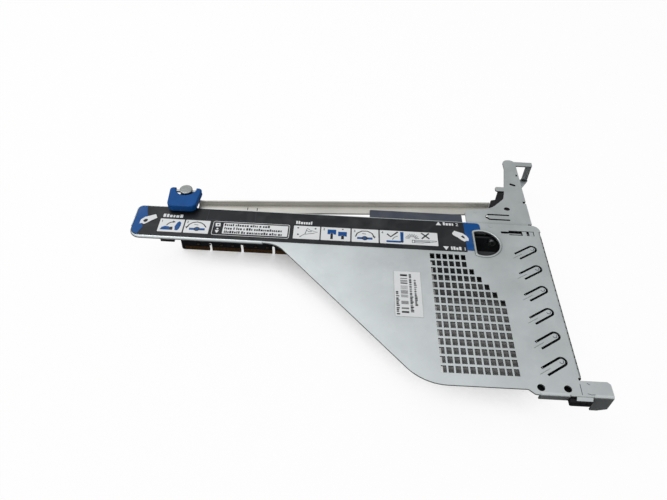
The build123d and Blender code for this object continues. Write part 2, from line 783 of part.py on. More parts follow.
def make_slot1_retainer():
    x0, x1 = retainer_x, retainer_x + retainer_length
    high = top_z - retainer_top
    low = high - retainer_height
    front = lobe_y - retainer_proud
    clear_x = screw_hole_x + screw_hole_pitch + screw_hole_radius + 0.8
    body = block(x0, x1, front, screw_hole_y - screw_hole_radius - 0.5, low, high)
    body = chamfer(body.edges().filter_by(Axis.X).group_by(Axis.Y)[0].sort_by(Axis.Z)[-1], retainer_bevel)
    body = fillet(body.edges().filter_by(Axis.Y).sort_by(Axis.X)[:2].sort_by(Axis.Z)[:1], 1.8)
    body += block(clear_x, x1, lobe_y + sheet, lobe_y + retainer_depth, low, high)
    body -= block(tail_wall_x - 0.3, x1 + 1, front - 1, lobe_y + sheet + 0.1, low - 1, high + 1)
    for i in range(2):
        x = x0 + 6.0 + i * 3.0
        body -= Pos(x, front, (low + high) / 2) * Rot(90, 0, 0) * Cylinder(0.7, 5)
    body += block(clear_x, x1 - 2, lobe_y + 2.4, lobe_y + 5.6, high, under_z)
    return body


def make_corner_bumper():
    """Plastic corner guide that follows the inside of the horn's root."""
    neck_x = wing_rear_x - horn_width
    front, rear = neck_x - bumper_reach, neck_x + 2.5
    near, far = wing_far_y - 0.4, ear_y + 0.9
    inner = neck_x - bumper_width
    points = [(front, near), (front + 0.7, wing_far_y + bumper_end), (inner, bumper_corner_y),
              (inner + 1.3, far), (rear, far), (rear, near)]
    radii = [1.0, 1.5, bumper_inner_radius, 1.0, 1.0, 2.0]
    return plate(points, radii, second_z - bumper_height, second_z)


def make_arm_foot():
    y = arm_near_y + sheet + 0.05
    body = block(foot_x, foot_x + foot_length, arm_near_y + 0.3, y + 5, under_z - foot_drop, under_z)
    clear = block(foot_x - 1, foot_x + foot_length + 1, arm_near_y - 1, y + 0.6,
                  top_z - arm_fold_depth - 0.1, top_z)
    return body - clear


def make_finger_strip():
    """Clip-on row of spring fingers over the rear fold."""
    x = rear_x
    y0, count = finger_row()
    low, high = top_z - rear_fold_depth + 0.4, top_z - fold_outside * 0.7
    mid = (low + high) / 2
    rows = None
    section_face = make_face(FilletPolyline(
        (0.02, high - mid), (0.7, 0.2), (0.7, -0.2), (0.02, low - mid), (0.02, low - mid + 0.3),
        (0.4, 0), (0.02, high - mid - 0.3), radius=[0, 0.3, 0.3, 0, 0, 0.3, 0], close=True))
    for i in range(count):
        y = y0 + i * finger_pitch
        frame = Plane(origin=(x, y, mid), x_dir=(1, 0, 0), z_dir=(0, 1, 0))
        finger = extrude(frame * section_face, finger_pitch - finger_gap)
        rows = finger if rows is None else rows + finger
    spine = block(x, x + finger_strip_thickness, y0, y0 + count * finger_pitch - finger_gap, low, low + 0.5)
    return rows + spine


def label_face(inset):
    """Outline of the printed film on the arm, drawn in by a margin."""
    x0, x1 = tip_x + label_margin + inset, finger_x - finger_flat - finger_rim - mark_overlap
    near, far = arm_near_y + label_near_margin + inset, arm_far_y - label_margin - inset
    return make_face(FilletPolyline((x0, near), (x1, near), (x1, far), (x0, far), close=True, radius=[
        tip_near_radius - label_near_margin - inset, 0.3, 0.3, tip_far_radius - label_margin - inset]))


def make_instruction_label():
    return Pos(0, 0, top_z) * extrude(label_face(0), label_thickness)


def make_front_touch_mark():
    """Blue field over the label's front end, with a hollow for the hand sign."""
    outline = label_face(mark_inset)
    edge = [(tip_x + reach, y) for reach, y in mark_edge]
    keep = make_face(Polyline((tip_x - 5, arm_far_y + 5), (edge[0][0], arm_far_y + 5), *edge,
                              (edge[-1][0], arm_near_y - 5), (tip_x - 5, arm_near_y - 5), close=True))
    z0 = top_z + label_thickness
    return Pos(0, 0, z0) * extrude(outline & keep, mark_thickness)


def make_rear_touch_mark():
    """Blue field that ends against the hem of the finger hole."""
    x0 = finger_x - finger_flat - finger_rim - mark_overlap
    near = arm_near_y + label_near_margin + 1.5
    far = arm_far_y - label_margin
    body = plate([(x0, near), (finger_x - finger_flat - finger_rim, near), (finger_x, finger_y),
                  (finger_x, far), (x0, far)], [0.5, 0.5, 0, 2.5, 0.5], top_z, top_z + label_thickness)
    return body - Pos(0, 0, top_z - 1) * extrude(finger_shape(finger_rim + 0.3), 3)


def make_label_panels():
    """White picture panels of the instruction label."""
    z0 = top_z + label_thickness
    panels = []
    for i, (start, length) in enumerate(panel_spans):
        trim = panel_text_trim if i == panel_text else 0
        x0, x1 = start, start + length
        y0, y1 = panel_low_y + trim, panel_low_y + panel_height - trim
        panels.append(plate([(x0, y0), (x1, y0), (x1, y1), (x0, y1)], [0.4] * 4, z0, z0 + mark_thickness))
    return panels


def make_part_label():
    x0, x1 = part_label_x, part_label_x + part_label_width
    y0, y1 = part_label_y - part_label_length, part_label_y
    return plate([(x0, y0), (x1, y0), (x1, y1), (x0, y1)], [0.5] * 4, top_z, top_z + mark_thickness)


def make_insulator_flap():
    lap = hook_y + sheet / 2 + 1.0
    far = arm_far_y + flap_reach
    return plate([(flap_front_x, lap), (flap_rear_x, lap), (flap_rear_x, far), (flap_front_x, far)],
                 [0.5, 0.5, 1.0, 1.0], under_z - flap_thickness, under_z)


def make_rivets(spots, low, high):
    return [rivet(x, y, low, high) for x, y in spots]


wing_spots, rail_spots = wing_rivet_spots(), rail_rivet_spots()
pieces = {
    "top_plate": make_top_plate(),
    "slot2_wing": make_slot2_wing(),
    "board_carrier": make_board_carrier(),
    "side_rail": make_side_rail(),
    "latch_tab": make_latch_tab(),
    "latch_sleeve": make_latch_sleeve(),
    "latch_stud": make_latch_stud(),
    "latch_hub": make_latch_hub(),
    "stud_clip": make_stud_clip(),
    "handle_pin": make_handle_pin(),
    "latch_handle": make_latch_handle(),
    "riser_board": make_riser_board(),
    "edge_contacts": make_edge_contacts(),
    "slot1_connector": make_connector(x16_length, -1),
    "slot1_contacts": make_connector_contacts(x16_length, -1),
    "slot2_connector": make_connector(x8_length, 1),
    "slot2_contacts": make_connector_contacts(x8_length, 1),
    "board_screws": make_board_screws(),
    "board_standoffs": make_board_standoffs(),
    "board_chips": make_board_chips(),
    "board_capacitors": make_board_capacitors(),
    "slot1_retainer": make_slot1_retainer(),
    "corner_bumper": make_corner_bumper(),
    "arm_foot": make_arm_foot(),
    "finger_strip": make_finger_strip(),
    "instruction_label": make_instruction_label(),
    "front_touch_mark": make_front_touch_mark(),
    "rear_touch_mark": make_rear_touch_mark(),
    "label_panels": make_label_panels(),
    "part_label": make_part_label(),
    "insulator_flap": make_insulator_flap(),
    "carrier_rivets": make_rivets(carrier_rivet_spots(), second_z, top_z),
    "tab_rivets": make_rivets(tab_rivet_spots()[:1], second_z, top_z) + make_rivets(
        tab_rivet_spots()[1:], third_z, top_z),
    "wing_rivets": make_rivets(wing_spots, second_z, top_z),
    "rail_rivets": make_rivets(rail_spots[1:], third_z, under_z),
}

for name, piece in pieces.items():
    if isinstance(piece, list):
        piece = Compound(children=piece)
    export_step(piece, f"parts/{name}.step")
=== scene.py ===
import bmesh
import bpy
import json
import math
import random
from mathutils import Matrix, Vector


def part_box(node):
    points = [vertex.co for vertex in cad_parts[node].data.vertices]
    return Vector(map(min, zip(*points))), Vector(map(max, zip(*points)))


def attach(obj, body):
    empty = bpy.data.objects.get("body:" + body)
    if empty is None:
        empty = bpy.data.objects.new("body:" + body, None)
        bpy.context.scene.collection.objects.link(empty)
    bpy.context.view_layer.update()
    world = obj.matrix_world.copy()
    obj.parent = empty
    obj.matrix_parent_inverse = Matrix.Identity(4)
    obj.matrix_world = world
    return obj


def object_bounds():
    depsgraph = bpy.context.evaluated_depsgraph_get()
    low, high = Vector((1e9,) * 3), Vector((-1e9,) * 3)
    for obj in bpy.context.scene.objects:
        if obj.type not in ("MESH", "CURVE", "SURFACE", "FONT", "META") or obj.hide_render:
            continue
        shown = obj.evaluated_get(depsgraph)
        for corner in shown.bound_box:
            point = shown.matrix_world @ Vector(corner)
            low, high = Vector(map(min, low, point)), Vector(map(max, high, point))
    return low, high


# Riser cage for a flat server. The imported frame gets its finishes, then its printed label,
# then the small trim, and last the studio.
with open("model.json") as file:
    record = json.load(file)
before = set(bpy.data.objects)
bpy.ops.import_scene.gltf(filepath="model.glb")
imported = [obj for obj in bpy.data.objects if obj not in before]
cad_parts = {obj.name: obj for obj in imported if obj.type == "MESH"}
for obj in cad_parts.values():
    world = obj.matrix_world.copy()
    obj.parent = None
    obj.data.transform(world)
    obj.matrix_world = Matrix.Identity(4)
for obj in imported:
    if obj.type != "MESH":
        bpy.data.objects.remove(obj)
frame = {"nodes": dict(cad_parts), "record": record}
nodes = frame["nodes"]
cadLow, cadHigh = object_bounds()
mm = 0.001
print("frame loaded:", len(nodes), "nodes")


# Finishes

def newFinish(name, colour, roughness=0.5, metallic=0.0, gloss=0.5):
    finish = bpy.data.materials.new(name)
    finish.use_nodes = True
    finish.diffuse_color = (*colour, 1)
    shader = finish.node_tree.nodes["Principled BSDF"]
    shader.inputs["Base Color"].default_value = (*colour, 1)
    shader.inputs["Roughness"].default_value = roughness
    shader.inputs["Metallic"].default_value = metallic
    shader.inputs["Specular IOR Level"].default_value = gloss
    return finish


def addNode(finish, kind, **settings):
    node = finish.node_tree.nodes.new(kind)
    for key, value in settings.items():
        if key in node.inputs:
            node.inputs[key].default_value = value
        else:
            setattr(node, key, value)
    return node


def join(finish, start, end):
    finish.node_tree.links.new(start, end)


def place(finish, stretch=(1, 1, 1)):
    # a place on the piece, stretched for grain that runs one way
    where = addNode(finish, "ShaderNodeTexCoord")
    mapping = addNode(finish, "ShaderNodeMapping", Scale=stretch)
    join(finish, where.outputs["Object"], mapping.inputs["Vector"])
    return mapping.outputs["Vector"]


def noise(finish, where, size, detail=3.0, distortion=0.0):
    # cloud whose blobs are about size millimetres across
    cloud = addNode(finish, "ShaderNodeTexNoise", Scale=1 / (size * mm), Detail=detail, Distortion=distortion)
    join(finish, where, cloud.inputs["Vector"])
    return cloud.outputs["Fac"]


def blend(finish, amount, dark, light, low=0.3, high=0.7):
    ramp = addNode(finish, "ShaderNodeValToRGB")
    ramp.color_ramp.elements[0].position = low
    ramp.color_ramp.elements[0].color = (*dark, 1)
    ramp.color_ramp.elements[1].position = high
    ramp.color_ramp.elements[1].color = (*light, 1)
    join(finish, amount, ramp.inputs["Fac"])
    return ramp.outputs["Color"]


def multiply(finish, first, second):
    mix = addNode(finish, "ShaderNodeMix", data_type="RGBA", blend_type="MULTIPLY")
    mix.inputs[0].default_value = 1.0
    join(finish, first, mix.inputs[6])
    join(finish, second, mix.inputs[7])
    return mix.outputs[2]


def paint(finish, colour):
    join(finish, colour, finish.node_tree.nodes["Principled BSDF"].inputs["Base Color"])


def roughen(finish, amount, low, high):
    spread = addNode(finish, "ShaderNodeMapRange")
    spread.inputs["To Min"].default_value = low
    spread.inputs["To Max"].default_value = high
    join(finish, amount, spread.inputs["Value"])
    join(finish, spread.outputs["Result"], finish.node_tree.nodes["Principled BSDF"].inputs["Roughness"])


def emboss(finish, amount, height, strength=0.5):
    bump = addNode(finish, "ShaderNodeBump", Strength=strength, Distance=height * mm)
    join(finish, amount, bump.inputs["Height"])
    join(finish, bump.outputs["Normal"], finish.node_tree.nodes["Principled BSDF"].inputs["Normal"])


def scaled(colour, factor):
    return tuple(c * factor for c in colour)


grain = {  # blob and cell sizes in millimetres
    "zincCloud": 26.0,
    "zincSpangle": 3.2,
    "rollingLine": 0.5,
    "paintedShadeReach": 4.0,
    "turnedLine": 0.7,
    "turnedSheen": 3.0,
    "plasticCloud": 9.0,
    "plasticGrain": 0.25,
    "filmHaze": 14.0,
    "filmPeel": 1.6,
    "boardTrack": 9.0,
    "boardSheen": 5.0,
    "boardGrain": 0.4,
}
# painted shade: the colour that crevices, bends and slot walls darken to
paintedCreviceShade = (0.03, 0.032, 0.036)
spangleShade = (0.955, 0.96, 0.965)


def zincSheet(name, colour, metallic=0.86, paintedShadeFrom=0.6):
    # zinc-coated sheet: faint spangle, cloudy tone and fine rolling lines, with painted shade that darkens
    # the colour in crevices, bends and slot walls
    finish = newFinish(name, colour, 0.45, metallic)
    cloud = noise(finish, place(finish), grain["zincCloud"])
    spangle = addNode(finish, "ShaderNodeTexVoronoi", Scale=1 / (grain["zincSpangle"] * mm))
    join(finish, place(finish), spangle.inputs["Vector"])
    lines = noise(finish, place(finish, (0.06, 1, 1)), grain["rollingLine"], 2.0)
    tone = blend(finish, cloud, scaled(colour, 0.93), scaled(colour, 1.04))
    flakes = blend(finish, spangle.outputs["Color"], spangleShade, (1, 1, 1), 0.0, 1.0)
    # painted shade: the colour darkens where the occlusion node finds surfaces close by
    crevice = addNode(finish, "ShaderNodeAmbientOcclusion", samples=6, Distance=grain["paintedShadeReach"] * mm)
    shade = blend(finish, crevice.outputs["AO"], paintedCreviceShade, (1, 1, 1), paintedShadeFrom, paintedShadeFrom + 0.33)
    paint(finish, multiply(finish, multiply(finish, tone, flakes), shade))
    roughen(finish, cloud, 0.34, 0.52)
    emboss(finish, lines, 0.01)
    return finish


def turnedSteel(name, colour, rough=(0.28, 0.4)):
    finish = newFinish(name, colour, 0.34, 0.9)
    fine = noise(finish, place(finish), grain["turnedLine"], 2.0)
    paint(finish, blend(finish, fine, scaled(colour, 0.88), scaled(colour, 1.06)))
    roughen(finish, noise(finish, place(finish), grain["turnedSheen"]), *rough)
    emboss(finish, fine, 0.01, 0.3)
    return finish


def mouldedPlastic(name, colour, rough=(0.38, 0.52), depth=0.25):
    # fine spark-eroded grain with a slightly uneven sheen
    finish = newFinish(name, colour, 0.45, gloss=0.13)
    cloud = noise(finish, place(finish), grain["plasticCloud"])
    paint(finish, blend(finish, cloud, scaled(colour, 0.88), scaled(colour, 1.1)))
    roughen(finish, cloud, *rough)
    emboss(finish, noise(finish, place(finish), grain["plasticGrain"], 2.0), 0.02, depth)
    return finish


def printedFilm(name, colour, rough=(0.3, 0.42), wear=0.08):
    # laminated film: even colour with hazy fingerprints and a whisper of orange peel
    finish = newFinish(name, colour, 0.36, gloss=0.15)
    haze = noise(finish, place(finish), grain["filmHaze"], 4.0, 0.6)
    paint(finish, blend(finish, haze, colour, tuple(c + (1 - c) * wear for c in colour), 0.45, 0.8))
    roughen(finish, haze, *rough)
    emboss(finish, noise(finish, place(finish), grain["filmPeel"], 2.0), 0.01, 0.2)
    return finish


def laminateBoard(name, colour):
    # solder mask over copper: slightly lighter tracks show through
    finish = newFinish(name, colour, 0.4, gloss=0.12)
    tracks = addNode(finish, "ShaderNodeTexBrick", Scale=1 / (grain["boardTrack"] * mm), offset=0.37)
    tracks.inputs["Color1"].default_value = (*colour, 1)
    tracks.inputs["Color2"].default_value = (*scaled(colour, 1.5), 1)
    tracks.inputs["Mortar"].default_value = (*scaled(colour, 2.2), 1)
    tracks.inputs["Mortar Size"].default_value = 0.012
    join(finish, place(finish), tracks.inputs["Vector"])
    paint(finish, tracks.outputs["Color"])
    roughen(finish, noise(finish, place(finish), grain["boardSheen"]), 0.32, 0.48)
    emboss(finish, noise(finish, place(finish), grain["boardGrain"]), 0.01, 0.2)
    return finish


colours = {
    "zinc": (0.50, 0.535, 0.54),
    "rail": (0.56, 0.55, 0.51),
    "spring": (0.42, 0.45, 0.46),
    "turned": (0.26, 0.275, 0.27),
    "screw": (0.1, 0.105, 0.11),
    "blackMetal": (0.02, 0.02, 0.022),
    "blue": (0.005, 0.08, 0.29),
    "board": (0.012, 0.013, 0.015),
    # the contacts' own gold, darkened well below bright gold by painted shade of their place low under the
    # plate
    "gold": (0.3, 0.15, 0.045),
    "socket": (0.02, 0.02, 0.022),
    "chip": (0.025, 0.025, 0.028),
    "ceramic": (0.1, 0.075, 0.05),
    "blackPlastic": (0.016, 0.016, 0.018),
    "label": (0.017, 0.019, 0.022),
    "white": (0.82, 0.84, 0.85),
    "slate": (0.06, 0.07, 0.095),
}
finishes = {
    "galvanised_steel": zincSheet("galvanisedSteel", colours["zinc"]),
    # the rail gets only a faint painted crevice shade
    "rail_steel": zincSheet("railSteel", colours["rail"], 0.7, paintedShadeFrom=0.15),
    "spring_steel": turnedSteel("springSteel", colours["spring"]),
    "latch_steel": turnedSteel("latchSteel", colours["turned"]),
    "screw_steel": turnedSteel("screwSteel", colours["screw"]),
    "black_metal": mouldedPlastic("blackMetal", colours["blackMetal"], (0.3, 0.42), 0.1),
    "blue_plastic": mouldedPlastic("bluePlastic", colours["blue"], (0.36, 0.5)),
    "board_laminate": laminateBoard("boardLaminate", colours["board"]),
    "gold_contact": turnedSteel("goldContact", colours["gold"], (0.3, 0.42)),
    "connector_plastic": mouldedPlastic("connectorPlastic", colours["socket"]),
    "chip_resin": mouldedPlastic("chipResin", colours["chip"], (0.5, 0.62)),
    "capacitor_ceramic": mouldedPlastic("capacitorCeramic", colours["ceramic"]),
    "black_plastic": mouldedPlastic("blackPlastic", colours["blackPlastic"], (0.4, 0.55)),
    "label_black": printedFilm("labelBlack", colours["label"], wear=0.03),
    "mark_blue": printedFilm("markBlue", colours["blue"], wear=0.05),
    "panel_white": printedFilm("panelWhite", colours["white"], wear=0.3),
    "slate_film": printedFilm("slateFilm", colours["slate"], (0.42, 0.55), 0.04),
}
slotOf = {part["node"]: part["material_slot"] for part in frame["record"]["subparts"]}
for name, node in nodes.items():
    node.data.materials.clear()
    node.data.materials.append(finishes[slotOf[name]])
print("finishes ready:", len(finishes))


# Printed label: all of it lies on the black film or on its white panels

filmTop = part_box("instruction_label")[1].z / mm
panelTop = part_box("label_panels")[1].z / mm
inkHeight = 0.05  # printed ink in mm, thick enough to be a real mesh
wordShape = {
    "letterWidth": (0.6, 1.2),
    "letterGap": 0.35,
    "wordGap": 0.9,
    "gapShare": 0.8,  # share of the gaps that lie inside a word
    "tallShare": 0.35,  # share of the letters that reach full height
    "lowHeight": 0.74,
}
wordSeeds = {"label": 10, "notice": 30, "partLabel": 50}


def finishPiece(bm, name, slot):
    bmesh.ops.remove_doubles(bm, verts=bm.verts, dist=0.001)
    bmesh.ops.recalc_face_normals(bm, faces=bm.faces)
    bmesh.ops.scale(bm, vec=(mm, mm, mm), verts=bm.verts)
    mesh = bpy.data.meshes.new(name)
    bm.to_mesh(mesh)
    bm.free()
    for face in mesh.polygons:
        face.use_smooth = False
    piece = bpy.data.objects.new(name, mesh)
    bpy.context.scene.collection.objects.link(piece)
    mesh.materials.append(finishes[slot])
    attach(piece, "cage")
    return piece


def patch(bm, points, base, height=inkHeight):
    # flat field of ink with its outline given point by point
    corners = [bm.verts.new((x, y, base)) for x, y in points]
    face = bm.faces.new(corners)
    raised = bmesh.ops.extrude_face_region(bm, geom=[face])
    tops = [part for part in raised["geom"] if isinstance(part, bmesh.types.BMVert)]
    bmesh.ops.translate(bm, vec=(0, 0, height), verts=tops)


def bar(bm, x0, x1, y0, y1, base, height=inkHeight):
    centre = Matrix.Translation(((x0 + x1) / 2, (y0 + y1) / 2, base + height / 2))
    size = Matrix.Diagonal((x1 - x0, y1 - y0, height, 1))
    bmesh.ops.create_cube(bm, size=1, matrix=centre @ size)


def stroke(bm, points, width, base, closed=False):
    # a pen line: a poly curve with a round section, pressed flat
    curve = bpy.data.curves.new("penLine", "CURVE")
    curve.dimensions = "3D"
    curve.bevel_depth = width / 2
    curve.bevel_resolution = 1
    curve.use_fill_caps = True
    line = curve.splines.new("POLY")
    line.points.add(len(points) - 1)
    for point, (x, y) in zip(line.points, points):
        point.co = (x, y, 0, 1)
    line.use_cyclic_u = closed
    pen = bpy.data.objects.new("penLine", curve)
    mesh = bpy.data.meshes.new_from_object(pen)
    mesh.transform(Matrix.Diagonal((1, 1, inkHeight / width, 1)))
    mesh.transform(Matrix.Translation((0, 0, base + inkHeight / 2)))
    bm.from_mesh(mesh)
    bpy.data.objects.remove(pen)
    bpy.data.curves.remove(curve)
    bpy.data.meshes.remove(mesh)


def arcPoints(x, y, radius, start, end, steps):
    angles = [math.radians(start + (end - start) * i / steps) for i in range(steps + 1)]
    return [(x + radius * math.cos(a), y + radius * math.sin(a)) for a in angles]


def disc(bm, x, y, radius, base, sides=15):
    patch(bm, arcPoints(x, y, radius, 0, 360 - 360 / sides, sides - 1), base)


def wordRow(bm, x0, x1, y0, y1, base, letters, seed, upright=False):
    # a word or a line of print, as a row of short blocks with no reading to it
    dice = random.Random(seed)
    widths = [dice.uniform(*wordShape["letterWidth"]) for _ in range(letters)]
    gaps = [wordShape["letterGap"] if dice.random() < wordShape["gapShare"] else wordShape["wordGap"]
            for _ in range(letters)]
    along, across = ((y0, y1), (x0, x1)) if upright else ((x0, x1), (y0, y1))
    unit = (along[1] - along[0]) / (sum(widths) + sum(gaps[:-1]))
    start = along[0]
    for i in range(letters):
        tall = dice.random() < wordShape["tallShare"] or i == 0
        top = across[1] if tall else across[0] + (across[1] - across[0]) * wordShape["lowHeight"]
        end = start + widths[i] * unit
        if upright:
            bar(bm, across[0], top, start, end, base)
        else:
            bar(bm, start, end, across[0], top, base)
        start = end + gaps[i] * unit


label = {
    # x from, x to, y from, y to, letters
    "headings": ((-77.0, -63.9, 0.0, 3.0, 6), (12.0, 22.8, 0.0, 2.9, 7)),
    "slotWords": ((111.0, 118.0, 6.3, 9.2, 4), (114.4, 121.2, -16.2, -13.3, 4)),
    "slotDigits": (("2", 119.4, 6.2), ("1", 122.6, -16.3)),
    "digitHeight": 4.0,
    "upMark": ((108.0, 9.4), (106.1, 6.1), (109.8, 6.1)),
    "downMark": ((111.2, -16.7), (109.3, -13.4), (113.1, -13.4)),
    "noticeBox": (-42.5, 8.1, -14.0, -1.5),  # x from, x to, y from, y to
    "noticeLine": 0.35,
    "noticeRadius": 1.3,
    "foldBox": ((-47.6, -0.2), (-47.6, 9.6), (-15.8, 9.6), (-15.3, 0.0), (-47.6, -0.2)),
    "foldLine": 0.16,
}

ink = bmesh.new()
for i, (x0, x1, y0, y1, letters) in enumerate(label["headings"] + label["slotWords"]):
    wordRow(ink, x0, x1, y0, y1, filmTop, letters, wordSeeds["label"] + i)
for corners in (label["upMark"], label["downMark"]):
    patch(ink, corners, filmTop)
x0, x1, y0, y1 = label["noticeBox"]
r = label["noticeRadius"]
frameLine = (arcPoints(x1 - r, y1 - r, r, 0, 90, 4) + arcPoints(x0 + r, y1 - r, r, 90, 180, 4)
             + arcPoints(x0 + r, y0 + r, r, 180, 270, 4) + arcPoints(x1 - r, y0 + r, r, 270, 360, 4))
stroke(ink, frameLine, label["noticeLine"], filmTop, True)
finishPiece(ink, "labelPrint", "panel_white")

folds = bmesh.new()
stroke(folds, label["foldBox"], label["foldLine"], filmTop)
finishPiece(folds, "labelFoldLine", "slate_film")


def digitMesh(text, x, y, base, height):
    words = bpy.data.curves.new("digit", "FONT")
    words.body = text
    words.size = height
    words.extrude = inkHeight / 2
    holder = bpy.data.objects.new("digit", words)
    mesh = bpy.data.meshes.new_from_object(holder)
    mesh.transform(Matrix.Translation((x, y, base + inkHeight / 2)))
    bpy.data.objects.remove(holder)
    return mesh


def digitPiece(name, slot, digits, base, height):
    bm = bmesh.new()
    for text, x, y in digits:
        mesh = digitMesh(text, x, y, base, height)
        bm.from_mesh(mesh)
        bpy.data.meshes.remove(mesh)
    finishPiece(bm, name, slot)


digitPiece("slotDigits", "panel_white", label["slotDigits"], filmTop, label["digitHeight"])


# Notice: a black cell with white signs, and lines of print on the white field
notice = {
    "signPlate": ((-41.2, -3.1), (-38.0, -2.9), (-37.6, -6.2), (-40.8, -6.4)),
    "signHole": ((-39.9, -4.2), (-38.7, -4.1), (-38.6, -5.2), (-39.8, -5.3)),
    "signDot": (-39.2, -8.4, 0.7),
    "signHand": ((-40.6, -9.8), (-38.0, -9.6), (-38.5, -11.3), (-39.3, -12.4), (-40.0, -11.2)),
    "rows": ((-35.0, -5.0, -5.5, -3.4, 19), (-34.7, 3.2, -8.8, -6.6, 25), (-34.5, 3.5, -12.1, -9.9, 26)),
}
signs = bmesh.new()
patch(signs, notice["signPlate"], filmTop)
disc(signs, *notice["signDot"], filmTop)
patch(signs, notice["signHand"], filmTop)
finishPiece(signs, "noticeSigns", "panel_white")
rows = bmesh.new()
patch(rows, notice["signHole"], filmTop + inkHeight)
for i, (x0, x1, y0, y1, letters) in enumerate(notice["rows"]):
    wordRow(rows, x0, x1, y0, y1, panelTop, letters, wordSeeds["notice"] + i)
finishPiece(rows, "noticePrint", "label_black")


# Pictures on the white panels: how the latch is turned and folded
pictures = {
    "digits": (("1", -77.2, -4.9), ("2", -60.3, -4.7), ("2", 30.3, -4.6), ("3", 50.5, -4.8),
               ("4", 69.0, -4.8)),
    "digitHeight": 2.9,
    "bluePatches": (
        ((-76.6, -11.9), (-75.7, -9.6), (-73.7, -8.5), (-71.2, -8.8), (-70.5, -9.3), (-70.2, -11.9)),
        ((-66.8, -11.9), (-67.4, -8.4), (-66.3, -4.8), (-65.0, -3.5), (-63.8, -4.9), (-63.7, -7.5),
         (-64.2, -10.5), (-65.1, -12.0)),
        ((-57.7, -9.1), (-47.4, -8.9), (-47.2, -10.8), (-57.6, -10.9)),
        ((33.4, -3.8), (39.1, -3.7), (39.1, -8.2), (37.5, -8.2), (37.0, -7.0), (35.4, -7.0), (34.9, -8.2),
         (33.4, -8.2)),
        ((40.4, -5.4), (46.2, -5.3), (46.2, -9.5), (44.7, -9.5), (44.2, -8.4), (42.6, -8.4), (42.1, -9.4),
         (40.5, -9.4)),
        ((53.0, -9.3), (63.1, -9.2), (63.1, -11.1), (53.0, -11.1)),
        ((72.3, -10.9), (81.8, -10.8), (81.8, -12.5), (72.3, -12.5)),
        ((81.6, -2.6), (83.8, -2.5), (83.5, -11.8), (81.6, -11.8))),
    "darkPatches": (
        ((-70.5, -9.1), (-68.6, -9.0), (-68.3, -11.8), (-70.2, -11.9)),
        ((-69.4, -3.3), (-67.5, -4.4), (-69.4, -5.3)),
        ((-60.4, -8.2), (-58.4, -7.8), (-59.5, -9.8)),
        ((35.4, -7.2), (37.0, -7.2), (37.0, -12.5), (35.4, -12.5)),
        ((42.5, -8.6), (44.3, -8.6), (44.3, -12.2), (42.5, -12.2)),
        ((63.2, -7.9), (65.2, -8.2), (64.5, -9.8))),
    "hubs": ((-52.6, -9.8), (58.0, -10.1)),
    "hubRadius": 1.9,
    "hubCore": 0.6,  # blue core as a share of the hub
    "dots": ((82.6, -11.5, 0.9), (43.4, -3.1, 0.5), (13.8, -3.7, 0.6), (14.0, -9.8, 0.6), (25.3, -3.8, 0.6)),
    "arcs": (
        ((-72.9, -7.9), (-72.2, -6.4), (-70.8, -5.0), (-69.0, -4.3)),
        ((-59.3, -8.6), (-58.2, -5.9), (-56.1, -4.0), (-53.3, -3.3), (-50.3, -4.1), (-48.3, -5.8),
         (-46.8, -8.0)),
        ((51.9, -9.0), (53.1, -5.7), (56.1, -3.6), (59.7, -3.4), (62.8, -5.3), (64.1, -8.2))),
    "arcWidth": 0.75,
    "ticks": (((72.8, -4.9), (75.2, -7.4), (80.0, -2.6)), ((95.6, -2.5), (100.8, -7.6)),
              ((100.8, -2.4), (95.7, -7.8))),
    "tickWidth": 1.05,
    "greys": (
        ((15.1, -12.1), (18.6, -9.0), (19.4, -5.7), (19.8, -3.6), (22.0, -5.5), (26.8, -6.9), (23.7, -8.3),
         (18.7, -9.3)),
        ((19.4, -5.7), (21.0, -6.8), (23.0, -6.6)), ((76.2, -10.0), (77.5, -7.8), (79.8, -6.5)),
        ((-54.9, -5.8), (-52.2, -6.1)), ((56.3, -5.9), (58.9, -6.2)),
        ((89.3, -9.5), (105.4, -9.3), (105.3, -9.9), (95.6, -11.7), (89.3, -11.8), (89.3, -9.5)),
        ((90.9, -9.6), (90.9, -11.7)), ((90.9, -10.7), (101.0, -10.3))),
    "greyWidth": 0.45,
    # centre, inner and outer reach, rays, from and to in degrees
    "burst": (89.4, -8.4, 1.9, 4.6, 9, (10, 170)),
}
bluePrint = bmesh.new()
for corners in pictures["bluePatches"]:
    patch(bluePrint, corners, panelTop)
for x, y in pictures["hubs"]:
    disc(bluePrint, x, y, pictures["hubRadius"] * pictures["hubCore"], panelTop + inkHeight * 2)
finishPiece(bluePrint, "pictureBlue", "mark_blue")

darkPrint = bmesh.new()
for corners in pictures["darkPatches"]:
    patch(darkPrint, corners, panelTop + inkHeight)
for x, y in pictures["hubs"]:
    disc(darkPrint, x, y, pictures["hubRadius"], panelTop + inkHeight)
for x, y, radius in pictures["dots"]:
    disc(darkPrint, x, y, radius, panelTop + inkHeight)
for points in pictures["arcs"]:
    stroke(darkPrint, points, pictures["arcWidth"], panelTop)
for points in pictures["ticks"]:
    stroke(darkPrint, points, pictures["tickWidth"], panelTop)
finishPiece(darkPrint, "pictureInk", "label_black")
digitPiece("stepDigits", "label_black", pictures["digits"], panelTop, pictures["digitHeight"])

greyPrint = bmesh.new()
for points in pictures["greys"]:
    stroke(greyPrint, points, pictures["greyWidth"], panelTop)
x, y, inner, outer, rays, (first, last) = pictures["burst"]
for i in range(rays):
    angle = math.radians(first + (last - first) * i / (rays - 1))
    ends = [(x + reach * math.cos(angle), y + reach * math.sin(angle)) for reach in (inner, outer)]
    stroke(greyPrint, ends, pictures["greyWidth"], panelTop)
finishPiece(greyPrint, "pictureGrey", "slate_film")


